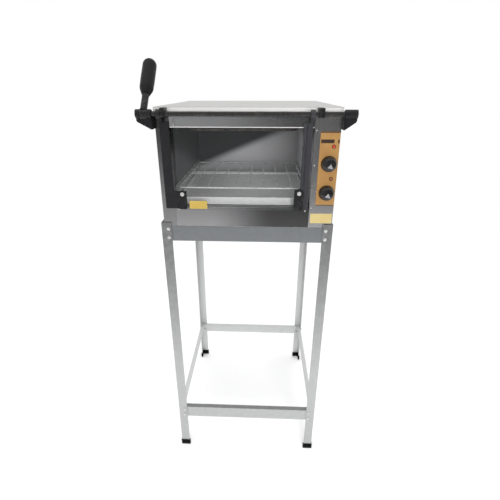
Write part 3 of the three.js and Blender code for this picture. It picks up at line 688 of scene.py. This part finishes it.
def makeFrontScrews():
    look = casingScrews["front"]
    low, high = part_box("top_fascia")
    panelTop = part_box("lower_front_panel")[1].z
    shape = bmesh.new()
    for x in (low.x + look["inset"], high.x - look["inset"]):
        for z in (low.z + look["above"], panelTop - look["below"]):
            addPanScrew(shape, Vector((x, low.y, z)), -towardsBack, "front")
    look = casingScrews["column"]
    foot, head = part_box("control_column")
    for share in look["up"]:
        seat = Vector((foot.x + look["inset"], low.y, onward(foot.z, head.z, share)))
        addPanScrew(shape, seat, -towardsBack, "column")
    showPiece("front_screws", finishMesh("frontScrews", shape), "frame", "zinc_plate")


easing = {  # how far the edges of each kind of stock are eased, and in how many steps
    "angle": (0.9 * mm, 3),
    "rail": (0.7 * mm, 2),
    "sheet": (0.45 * mm, 2),
    "lid": (1.1 * mm, 3),
    "bar": (0.9 * mm, 2),
    "casting": (1.2 * mm, 3),
    "rubber": (1.3 * mm, 3),
    "film": (0.12 * mm, 1),
}
stock = {
    "angle": [f"leg_{end}_{side}" for end in ("front", "rear") for side in ("left", "right")],
    "rubber": [f"foot_{end}_{side}" for end in ("front", "rear") for side in ("left", "right")],
    "rail": [f"{level}_{end}" for level in ("top_rail", "shelf_rail")
             for end in ("front", "rear", "left", "right")],
    "sheet": ["base_pan", "side_panel_left", "side_panel_right", "back_panel", "front_column_left",
              "control_column", "top_fascia", "lower_front_panel", "chamber", "runner_left", "runner_right",
              "drip_tray", "control_plate"],
    "lid": ["top_plate"],
    "bar": ["door_arm_left", "door_arm_right", "glass_clamp_left", "glass_clamp_right", "rod_bearing_left",
            "rod_bearing_right", "thermostat_body", "heat_switch_body", "terminal_block"],
    "casting": ["end_bracket_left", "end_bracket_right"],
    "film": ["data_label", "caution_label"],
}
ownFinish = {  # where a piece gets its own finish: the tray's zinc differs in gloss and baked film; the rest carry painted light or painted shade in their tones and fades
    "top_fascia": fasciaShadedSteel, "lower_front_panel": lowerPanelShadedSteel, "front_column_left": leftColumnShadedSteel,
    "control_column": rightColumnShadedSteel, "drip_tray": trayZinc, "door_arm_right": rightArmLitEnamel,
    "leg_front_left": frontLegShadedPaint, "leg_front_right": frontLegShadedPaint,
    "shelf_rail_front": shelfShadedPaint, "shelf_rail_left": sideLitPaint, "shelf_rail_right": sideLitPaint,
    "top_rail_front": topRailShadedPaint, "top_rail_rear": topRailShadedPaint, "top_rail_left": topRailShadedPaint,
    "top_rail_right": topRailShadedPaint,
}


def makeStock():
    for kind, nodes in stock.items():
        width, segments = easing[kind]
        for node in nodes:
            easedCopy(node, width, segments, ownFinish.get(node))


woolLook = {"cuts": 14, "settled": 1.5 * mm, "lumpiness": 0.5}


def makeWoolBlanket():
    low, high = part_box("insulation_top")
    shape = bmesh.new()
    addSlab(shape, low, high)
    bmesh.ops.subdivide_edges(shape, edges=shape.edges, cuts=woolLook["cuts"], use_grid_fill=True)
    for vert in shape.verts:
        x, y, z = vert.co
        wave = math.sin(x * 61) * math.cos(y * 53) + math.sin(x * 23 + y * 31)
        rise = min(1.0, (z - low.z) / (high.z - low.z) * 2)
        sunk = z - (1 + wave * woolLook["lumpiness"]) * woolLook["settled"] * rise
        vert.co.z = max(sunk, low.z)
    mesh = finishMesh("woolBlanket", shape, 60)
    showPiece("wool_blanket", mesh, "frame", "wool", standsFor=["insulation_top"])


elementLook = {"radius": 4.0 * mm, "bend": 22 * mm, "terminalPitch": 60 * mm, "tail": 75 * mm}


def makeElements():
    r = elementLook["radius"]
    half = elementLook["terminalPitch"] / 2
    for level in ("upper", "lower"):
        low, high, middle = sizes(f"heating_element_{level}")
        left, right = low.x + r, high.x - r
        front, rear = low.y + r, high.y - elementLook["tail"]
        corners = [(middle.x - half, high.y), (middle.x - half, rear), (left, rear), (left, front),
                   (right, front), (right, rear), (middle.x + half, rear), (middle.x + half, high.y)]
        route = roundedRoute([Vector((x, y, middle.z)) for x, y in corners], elementLook["bend"], 9)
        shape = bmesh.new()
        addSwept(shape, route, r, 18)
        mesh = finishMesh("element", shape)
        showPiece(f"element_tube_{level}", mesh, "frame", "element_sheath",
                  standsFor=[f"heating_element_{level}"])


rackLook = {"frame": 2.5 * mm, "bar": 1.6 * mm, "bars": 8, "bend": 9 * mm, "overhang": 1 * mm,
            "buttGap": 0.2 * mm}


def makeRack():
    low, high, middle = sizes("wire_rack")
    r = rackLook["frame"]
    bar = rackLook["bar"]
    z = low.z + r
    x0, x1, y0, y1 = low.x + r, high.x - r, low.y + r, high.y - r
    shape = bmesh.new()
    loop = [Vector((middle.x, y0, z)), Vector((x0, y0, z)), Vector((x0, y1, z)), Vector((x1, y1, z)),
            Vector((x1, y0, z)), Vector((middle.x + rackLook["buttGap"], y0, z))]
    addSwept(shape, roundedRoute(loop, rackLook["bend"], 8), r, 16)
    addSwept(shape, [Vector((x, middle.y, z)) for x in (x0, middle.x, x1)], r, 16)
    past = rackLook["overhang"]
    for i in range(1, rackLook["bars"] + 1):
        x = x0 + (x1 - x0) * i / (rackLook["bars"] + 1)
        addSwept(shape, [Vector((x, y, z + bar)) for y in (y0 - past, middle.y, y1 + past)], bar, 10)
    showPiece("rack_wires", finishMesh("rackWires", shape), "rack", "zinc_plate", rackZinc, ["wire_rack"])


def roundAbout(radius, count):  # places evenly round a circle that faces the front
    angles = [2 * math.pi * i / count for i in range(count)]
    return [Vector((math.cos(a) * radius, 0, math.sin(a) * radius)) for a in angles]


def quarterTurn(steps):
    return [math.pi / 2 * i / steps for i in range(steps + 1)]


knobLook = {
    "sides": 72, "seatGap": 0.3 * mm, "spindle": 3 * mm,
    "crown": ((0.0, 0), (0.15, 0.30), (0.6, 0.50), (1.4, 0.64), (2.6, 0.75), (4.4, 0.83), (7.0, 0.885)),
    "skirt": ((8, 0.915), (6, 0.93), (5.2, 0.955), (4.4, 0.99), (3, 1), (0.6, 1), (0, 0.97)),
    "ribs": 36, "ribRing": 0.915, "ribStart": 6.2 * mm, "ribLong": 5.0 * mm, "ribTip": 5.4 * mm,
    "ribFoot": 0.7 * mm, "ribEnd": 0.5 * mm,
    "pointer": ((0.12, 0.14), (-0.30, -0.34), (0.42, -0.50)),
    "pointerProud": 0.02 * mm, "pointerDeep": 1.6 * mm, "pointerEased": 0.25 * mm,
}


def makeKnob(level):
    look = knobLook
    low, high, middle = sizes(f"knob_{level}")
    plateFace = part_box("control_plate")[0].y
    r = (high.x - low.x) / 2
    face = low.y
    deep = plateFace - look["seatGap"] - face
    centre = Vector((middle.x, face, middle.z))
    shape = bmesh.new()
    profile = [(a * mm, r * share) for a, share in look["crown"]]
    profile += [(deep - a * mm, r * share) for a, share in look["skirt"]]
    profile += [(deep, look["spindle"]), (high.y - face, look["spindle"]), (high.y - face, 0)]
    addTurned(shape, profile, centre, towardsBack, look["sides"])
    mesh = finishMesh("knob", shape, 42)
    showPiece(f"knob_shell_{level}", mesh, f"knob_{level}", "black_plastic", standsFor=[f"knob_{level}"])
    shape = bmesh.new()
    arrow = [(middle.x + u * r, middle.z + v * r) for u, v in look["pointer"]]
    addPrism(shape, arrow, 1, face + look["pointerProud"], face + look["pointerDeep"])
    mark = showPiece(f"knob_pointer_{level}", finishMesh("pointer", shape), f"knob_{level}", "zinc_plate",
                     silverInlay)
    easeEdges(mark, look["pointerEased"])
    shape = bmesh.new()
    rib = [(0, 0), (0, look["ribFoot"]), (look["ribLong"], look["ribEnd"]), (look["ribTip"], 0)]
    for spoke in roundAbout(r * look["ribRing"], look["ribs"]):  # fine ribs round the skirt for the fingers
        spot = centre + spoke + towardsBack * (deep - look["ribStart"])
        addTurned(shape, rib, spot, -towardsBack, 8)
    showPiece(f"knob_ribs_{level}", finishMesh("ribs", shape), f"knob_{level}", "black_plastic")


lampLook = {"seatGap": 0.3 * mm, "lens": 0.84, "barrel": 4 * mm, "steps": 9, "sides": 40,
            "bezel": ((1.6, 0.86), (1.9, 0.92), (1.4, 0.98), (0.1, 1), (0, 1), (0, 0.86))}


def makeLamp(level, slot):
    look = lampLook
    low, high, middle = sizes(f"pilot_lamp_{level}")
    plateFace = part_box("control_plate")[0].y
    r = (high.x - low.x) / 2
    deep = plateFace - look["seatGap"] - low.y
    long = high.y - low.y
    centre = Vector((middle.x, low.y, middle.z))
    shape = bmesh.new()
    dome = [(deep * (1 - math.cos(a)), r * look["lens"] * math.sin(a)) for a in quarterTurn(look["steps"])]
    barrel = [(deep, look["barrel"]), (long, look["barrel"]), (long, 0)]
    addTurned(shape, dome + barrel, centre, towardsBack, look["sides"])
    mesh = finishMesh("lens", shape)
    showPiece(f"pilot_lens_{level}", mesh, "frame", slot, standsFor=[f"pilot_lamp_{level}"])
    shape = bmesh.new()
    bezel = [(deep - a * mm, r * share) for a, share in look["bezel"]]
    addTurned(shape, bezel, centre, towardsBack, look["sides"], closed=True)
    showPiece(f"pilot_bezel_{level}", finishMesh("bezel", shape), "frame", "black_plastic", darkPrint)


plateInk = {  # heights and widths are shares of the plate, and the ticks' reach is in knob radii
    "band": 3.2 * mm, "footBand": 0.8, "edge": 0.4 * mm, "thick": 0.12 * mm, "gap": 0.01 * mm,
    "barTall": (0.853, 0.90), "bars": ((0.05, 0.72), (0.90, 0.975)),
    "ticks": 13, "tickReach": (1.13, 1.22), "tickHalf": 0.45 * mm, "margin": 1 * mm,
    "firstTick": -125, "tickSweep": 270,
    "rule": 0.5 * mm, "ruleAcross": (0.14, 0.86), "rulesUp": (0.33, 0.46, 0.79),
}


def addTicks(shape, level, plateLow, plateHigh, front, back):
    ink = plateInk
    low, high, middle = sizes(f"knob_{level}")
    r = (high.x - low.x) / 2
    hub = Vector((middle.x, 0, middle.z))
    for i in range(ink["ticks"]):
        angle = math.radians(ink["firstTick"] + ink["tickSweep"] * i / (ink["ticks"] - 1) + 90)
        outward = Vector((math.cos(angle), 0, math.sin(angle)))
        half = Vector((-math.sin(angle), 0, math.cos(angle))) * ink["tickHalf"]
        foot, tip = [hub + outward * r * reach for reach in ink["tickReach"]]
        corners = [(p.x, p.z) for p in (foot - half, tip - half, tip + half, foot + half)]
        places = [corner[0] for corner in corners]
        if plateLow.x + ink["margin"] < min(places) and max(places) < plateHigh.x - ink["margin"]:
            addPrism(shape, corners, 1, front, back)


def makePlatePrint():
    ink = plateInk
    low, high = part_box("control_plate")
    back = low.y - ink["gap"]
    front = back - ink["thick"]
    edge = ink["edge"]

    def band(shape, x0, x1, z0, z1):
        addSlab(shape, (x0, front, z0), (x1, back, z1))

    shape = bmesh.new()
    band(shape, low.x + edge, high.x - edge, high.z - ink["band"], high.z - edge)
    band(shape, low.x + edge, high.x - edge, low.z + edge, low.z + ink["band"] * ink["footBand"])
    barZ = [onward(low.z, high.z, share) for share in ink["barTall"]]
    for ends in ink["bars"]:
        band(shape, *[onward(low.x, high.x, share) for share in ends], *barZ)
    showPiece("plate_bands", finishMesh("plateBands", shape), "frame", "control_print", darkPrint)
    shape = bmesh.new()
    for level in ("lower", "upper"):
        addTicks(shape, level, low, high, front, back)
    for share in ink["rulesUp"]:
        z = onward(low.z, high.z, share)
        band(shape, *[onward(low.x, high.x, end) for end in ink["ruleAcross"]], z, z + ink["rule"])
    showPiece("plate_ticks", finishMesh("plateTicks", shape), "frame", "control_print", brownPrint)


glandLook = {"seatGap": 0.3 * mm, "thread": 7 * mm, "flange": 2 * mm, "cable": 3.6 * mm, "throat": 3.2 * mm,
             "throatDeep": 6 * mm, "ribs": 12, "rib": 1.0 * mm, "ribFrom": 3 * mm, "ribRing": 0.86}


def makeGland():
    look = glandLook
    low, high, middle = sizes("cable_gland")
    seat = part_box("back_panel")[1].y + look["seatGap"]
    r = (high.x - low.x) / 2
    centre = Vector((middle.x, seat, middle.z))
    proud = high.y - seat
    flange = look["flange"]
    shape = bmesh.new()
    profile = [(low.y - seat, 0), (low.y - seat, look["thread"]), (0, look["thread"]), (0, r), (flange, r),
               (flange * 1.2, r * 0.9), (flange * 1.5, r * 0.9), (proud * 0.62, r * 0.86),
               (proud * 0.9, r * 0.62), (proud, r * 0.52), (proud, look["cable"]),
               (proud - look["throatDeep"], look["throat"]), (proud - look["throatDeep"], 0)]
    addTurned(shape, profile, centre, towardsBack, 40)
    rib = [(0, 0), (0, look["rib"]), (proud * 0.4, look["rib"]), (proud * 0.45, 0)]
    for spoke in roundAbout(r * look["ribRing"], look["ribs"]):  # grip ribs on the nut
        addTurned(shape, rib, centre + spoke + towardsBack * look["ribFrom"], towardsBack, 10)
    mesh = finishMesh("gland", shape)
    showPiece("gland_nut", mesh, "frame", "black_plastic", standsFor=["cable_gland"])


rodLook = {"chamfer": 1.0 * mm, "lengths": 24, "sides": 40}


def makeRod():
    low, high, middle = sizes("door_rod")
    r = (high.z - low.z) / 2
    long = high.x - low.x
    chamfer = rodLook["chamfer"]
    count = rodLook["lengths"]
    shape = bmesh.new()
    profile = [(0, 0), (0, r - chamfer), (chamfer, r)]
    profile += [(chamfer + (long - 2 * chamfer) * i / count, r) for i in range(1, count)]
    profile += [(long - chamfer, r), (long, r - chamfer), (long, 0)]
    addTurned(shape, profile, Vector((low.x, middle.y, middle.z)), acrossX, rodLook["sides"])
    showPiece("rod_bar", finishMesh("rod", shape), "door", "black_enamel", rodFinish, ["door_rod"])


leverLook = {
    "lean": 42, "shaft": 9.5 * mm, "hubEdge": 0.8 * mm, "boreGap": 0.15 * mm, "gripStart": 65 * mm,
    "tang": 66 * mm, "gripGap": 0.4 * mm, "gripEdge": 0.6 * mm, "neck": 0.6, "shoulder": 0.2, "swell": 1.3,
    "beads": 20, "beadRing": 1.08, "bead": 1.7 * mm, "beadSunk": 1.2 * mm,
}


def leverSetting():  # the middle of its hub, and the way that it leans
    rod = sizes("door_rod")[2]
    shaft = sizes("lever_shaft")[2]
    angle = math.radians(leverLook["lean"])
    return Vector((shaft.x, rod.y, rod.z)), Vector((0, math.sin(angle), math.cos(angle)))


def makeLeverBar():
    look = leverLook
    hub, lean = leverSetting()
    rodLow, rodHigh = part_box("door_rod")
    low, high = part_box("lever_shaft")
    rodRadius = (rodHigh.z - rodLow.z) / 2
    hubRadius = hub.y - low.y
    wide = high.x - low.x
    shaftEnd = look["gripStart"] + look["tang"]
    route = [hub + lean * (rodRadius + 1 * mm), hub + lean * shaftEnd * 0.5, hub + lean * shaftEnd]
    shape = bmesh.new()
    addSwept(shape, route, look["shaft"], 28)
    edge = look["hubEdge"]
    bore = rodRadius + look["boreGap"]
    collar = [(0, bore), (0, hubRadius - edge), (edge, hubRadius), (wide - edge, hubRadius),
              (wide, hubRadius - edge), (wide, bore)]
    addTurned(shape, collar, Vector((low.x, hub.y, hub.z)), acrossX, 48, closed=True)
    foot = hub + lean * (hubRadius - look["beadSunk"])
    first, second = sideways(lean)
    big = look["bead"]
    small = big * 12 / 17
    ball = [(-big, 0), (-small, small), (0, big), (small, small), (big, 0)]
    for i in range(look["beads"]):  # weld round the foot of the shaft
        angle = 2 * math.pi * i / look["beads"]
        spoke = first * math.cos(angle) + second * math.sin(angle)
        addTurned(shape, ball, foot + spoke * look["shaft"] * look["beadRing"], lean, 10)
    mesh = finishMesh("leverShaft", shape, 40)
    showPiece("lever_bar", mesh, "door", "black_enamel", standsFor=["lever_shaft"])


def makeLeverGrip():
    look = leverLook
    hub, lean = leverSetting()
    low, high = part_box("lever_grip")
    r = (high.x - low.x) / 2 - 0.05 * mm
    tipReach = (high.z - r - hub.z) / lean.z + r
    long = tipReach - look["gripStart"] - 0.2 * mm
    bore = look["shaft"] + look["gripGap"]
    edge = look["gripEdge"]
    neck = look["neck"]
    profile = [(long * 0.7, 0), (long * 0.7, bore), (0, bore), (0, r * neck - edge), (edge, r * neck)]
    for i in range(1, 11):
        t = i / 10
        swell = math.sin(t * math.pi / 2) ** look["swell"]
        profile.append((edge + long * look["shoulder"] * t, r * (neck + (0.97 - neck) * swell)))
    straight = long - r
    profile += [(long * 0.4, r), (straight * 0.9, r)]
    profile += [(straight + r * math.sin(a), r * math.cos(a)) for a in quarterTurn(12)[:-1]]
    profile.append((long, 0))
    shape = bmesh.new()
    addTurned(shape, profile, hub + lean * look["gripStart"], lean, 64)
    mesh = finishMesh("leverGrip", shape, 50)
    showPiece("lever_handle", mesh, "door", "black_plastic", gripFinish, ["lever_grip"])


hemLook = {"proud": 0.9 * mm, "tall": 2.6 * mm, "endGap": 1 * mm, "eased": 0.6}


def makeFasciaHem():  # the rolled bottom edge of the fascia, which catches the light
    low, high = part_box("top_fascia")
    start = Vector((low.x + hemLook["endGap"], low.y - hemLook["proud"], low.z))
    end = Vector((high.x - hemLook["endGap"], low.y, low.z + hemLook["tall"]))
    shape = bmesh.new()
    addSlab(shape, start, end)
    # the lighter lid steel on the hem is a painted highlight along the fascia's bottom edge
    hem = showPiece("fascia_hem", finishMesh("hem", shape), "frame", "cabinet_steel", finishes["lid_steel"])
    easeEdges(hem, hemLook["proud"] * hemLook["eased"])


clampScrew = {"seatGap": 0.1 * mm, "washer": 6.4 * mm, "washerRim": 6.2 * mm, "washerThick": 1.0 * mm,
              "head": 5.2 * mm, "shank": 3 * mm, "shankTip": 2.5 * mm, "chamfer": 0.5 * mm}


def makeClampBolts():
    look = clampScrew
    thick = look["washerThick"]
    for side in ("left", "right"):
        low, high, middle = sizes(f"clamp_bolt_{side}")
        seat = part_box(f"glass_clamp_{side}")[0].y - look["seatGap"]
        centre = Vector((middle.x, seat, middle.z))
        tall = seat - low.y
        tail = high.y - seat
        shape = bmesh.new()
        washer = [(0, 0), (0, look["washer"]), (thick, look["washerRim"]), (thick, 0)]
        addTurned(shape, washer, centre, -towardsBack, 32)
        dome = [(thick + (tall - thick) * math.sin(a), look["head"] * math.cos(a)) for a in quarterTurn(8)]
        addTurned(shape, [(thick, 0), *dome[:-1], (tall, 0)], centre, -towardsBack, 32)
        shank = [(0, 0), (0, look["shank"]), (tail - look["chamfer"], look["shank"]),
                 (tail, look["shankTip"]), (tail, 0)]
        addTurned(shape, shank, centre, towardsBack, 20)
        mesh = finishMesh("clampBolt", shape)
        showPiece(f"clamp_screw_{side}", mesh, "door", "zinc_plate", standsFor=[f"clamp_bolt_{side}"])


def makeGlass():
    mesh = easedCopy("door_glass", 0.5 * mm).data
    mesh.materials.append(paneEdge)
    for face in mesh.polygons:
        if abs(face.normal.y) < 0.5:  # the ground edges
            face.material_index = 1


labelInk = {"margin": 5 * mm, "proud": 0.08 * mm, "gap": 0.01 * mm}


def makeRules(name, label, slot, lines, thick):  # ruled lines where a maker would print, with no words
    low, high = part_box(label)
    margin, proud, gap = [labelInk[key] for key in ("margin", "proud", "gap")]
    shape = bmesh.new()
    for i in range(1, lines + 1):
        z = onward(low.z, high.z, i / (lines + 1))
        addSlab(shape, (low.x + margin, low.y - proud, z), (high.x - margin, low.y - gap, z + thick))
    showPiece(name, finishMesh(name, shape), bodyOf[label], slot, brownPrint)


makeStock()
makeWoolBlanket()
makeElements()
makeRack()
makeStandBolts()
makeSideScrews("left", -acrossX)
makeSideScrews("right", acrossX)
makeBackScrews()
makeFrontScrews()
print("casing, stand and inside done")
makeKnob("lower")
makeKnob("upper")
makeLamp("lower", "amber_lens")
makeLamp("upper", "red_lens")
makePlatePrint()
makeGland()
print("controls done")
makeRod()
makeLeverBar()
makeLeverGrip()
makeFasciaHem()
makeClampBolts()
makeGlass()
makeRules("label_rules", "data_label", "label_print", 4, 0.4 * mm)
makeRules("caution_rules", "caution_label", "caution_print", 3, 0.5 * mm)
print("door and lever done")


studio = {"floorSize": 3.4, "floorTone": 0.93, "floorGlow": 0.12, "sky": 1.0, "behindLeft": 0.55,
          "behindRight": 0.16}
# mirrored: whether the lamp itself shows in polished steel
lamps = {
    "softTop": {"at": (-0.3, -0.6, 3.4), "aim": (0, 0, 1.0), "size": 2.6, "power": 9, "mirrored": True},
    "keyLeft": {"at": (-1.7, -2.2, 2.2), "aim": (0, 0.1, 1.0), "size": 1.2, "power": 9, "mirrored": False},
    "ovenFill": {"at": (0.5, -2.4, 1.35), "aim": (0, 0.1, 1.12), "size": 0.9, "power": 36, "mirrored": False},
    "trayFill": {"at": (-0.01, -0.03, 1.245), "aim": (-0.01, -0.031, 1.0), "size": 0.32, "power": 0.25,
                 "mirrored": False},
}


def makeFloor():
    shape = bmesh.new()
    bmesh.ops.create_circle(shape, cap_ends=True, radius=studio["floorSize"], segments=96)
    mesh = bpy.data.meshes.new("floor")
    shape.to_mesh(mesh)
    shape.free()
    floor = bpy.data.objects.new("studio_floor", mesh)
    scene.collection.objects.link(floor)
    paper = Finish("floorPaper", roughness=0.9)
    level = studio["floorTone"]
    mottle = paper.noise(3.0, 3.0).between(0.2, 0.8)
    shaded = (level * 0.985, level * 0.985, level, 1)
    paper.set(baseColor=paper.mixed(mottle, (level, level, level, 1), shaded))
    paper.set(emissionColor=(1, 1, 1, 1), emissionStrength=studio["floorGlow"])
    mesh.materials.append(paper.material)


def makeSky():
    world = bpy.data.worlds.new("studioSky")
    world.use_nodes = True
    scene.world = world
    recipe = Recipe(world.node_tree)
    background = world.node_tree.nodes["Background"]
    heading = recipe.node("ShaderNodeTexCoord", {}, {}, out="Generated")
    split = recipe.node("ShaderNodeSeparateXYZ", {}, {0: heading}).socket.node
    x, y, z = [Value(recipe, split.outputs[i]) for i in range(3)]
    behind = (1 - y.between(-0.75, 0.05)) * (1 - z.between(0.15, 0.75))
    rightness = x.between(-0.45, 0.35)
    dark = studio["behindLeft"] + rightness * (studio["behindRight"] - studio["behindLeft"])
    level = studio["sky"] + behind * (dark - studio["sky"])
    seen = recipe.node("ShaderNodeLightPath", {}, {}, out="Is Camera Ray")
    recipe.feed(background.inputs["Strength"], level + seen * (1.0 - level))
    background.inputs["Color"].default_value = (1.0, 1.0, 1.0, 1.0)


def makeLamps():
    for name, lamp in lamps.items():
        light = bpy.data.lights.new(name, "AREA")
        light.shape = "SQUARE"
        light.size = lamp["size"]
        light.energy = lamp["power"]
        holder = bpy.data.objects.new(name, light)
        holder.location = lamp["at"]
        aim = Vector(lamp["aim"]) - Vector(lamp["at"])
        holder.rotation_euler = aim.to_track_quat("-Z", "Y").to_euler()
        holder.visible_glossy = lamp["mirrored"]
        scene.collection.objects.link(holder)


cameraView = {"lens": 26.4, "sensor": 36.0, "at": (0.0445, -1.361, 1.376), "down": 23.72, "turn": 2.34,
              "shift": 0.0082}


def makeCamera():
    lens = bpy.data.cameras.new("viewer")
    lens.lens = cameraView["lens"]
    lens.sensor_width = cameraView["sensor"]
    lens.shift_x = cameraView["shift"]
    lens.clip_start = 0.05
    viewer = bpy.data.objects.new("viewer", lens)
    viewer.location = cameraView["at"]
    tilt = math.radians(90 - cameraView["down"])
    viewer.rotation_euler = (tilt, 0.0, math.radians(cameraView["turn"]))
    scene.collection.objects.link(viewer)
    scene.camera = viewer


makeFloor()
makeSky()
makeLamps()
makeCamera()
scene.view_settings.view_transform = "Standard"
scene.view_settings.look = "None"
print("studio ready")
